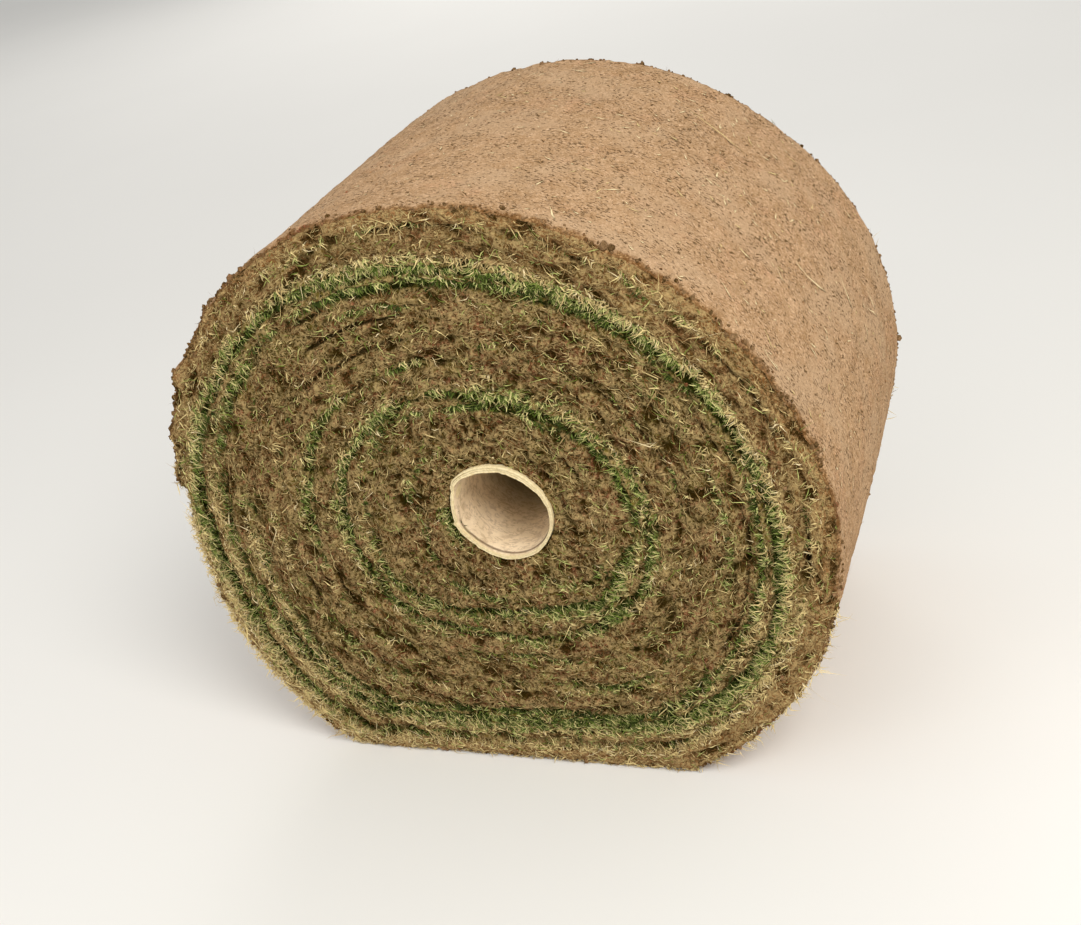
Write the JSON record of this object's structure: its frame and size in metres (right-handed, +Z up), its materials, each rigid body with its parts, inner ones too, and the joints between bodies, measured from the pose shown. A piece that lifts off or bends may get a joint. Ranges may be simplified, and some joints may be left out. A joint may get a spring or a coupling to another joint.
{
  "type": "roll of turf",
  "caption": "Large roll of turf lying on its side: one strip of soil and grass wound on a cardboard core tube, sagged a little flat underneath.",
  "frame": {"origin": "centre of the bounding box's foot, on the ground under the middle of the roll", "axes": "+Z up; Y along the roll's axis, the pictured end facing -Y; X across the end, its left flank with the strip's outer end toward -X"},
  "size_m": [1, 0.62, 0.9225],
  "materials": {
    "turf": "dry loam soil on the outside, brown soil and green grass layers at the ends",
    "cardboard": "plain spiral-wound cardboard, soil-stained inside"
  },
  "bodies": {
    "root": {"turf_roll": "turf", "core_tube": "cardboard"}
  },
  "joints": []
}
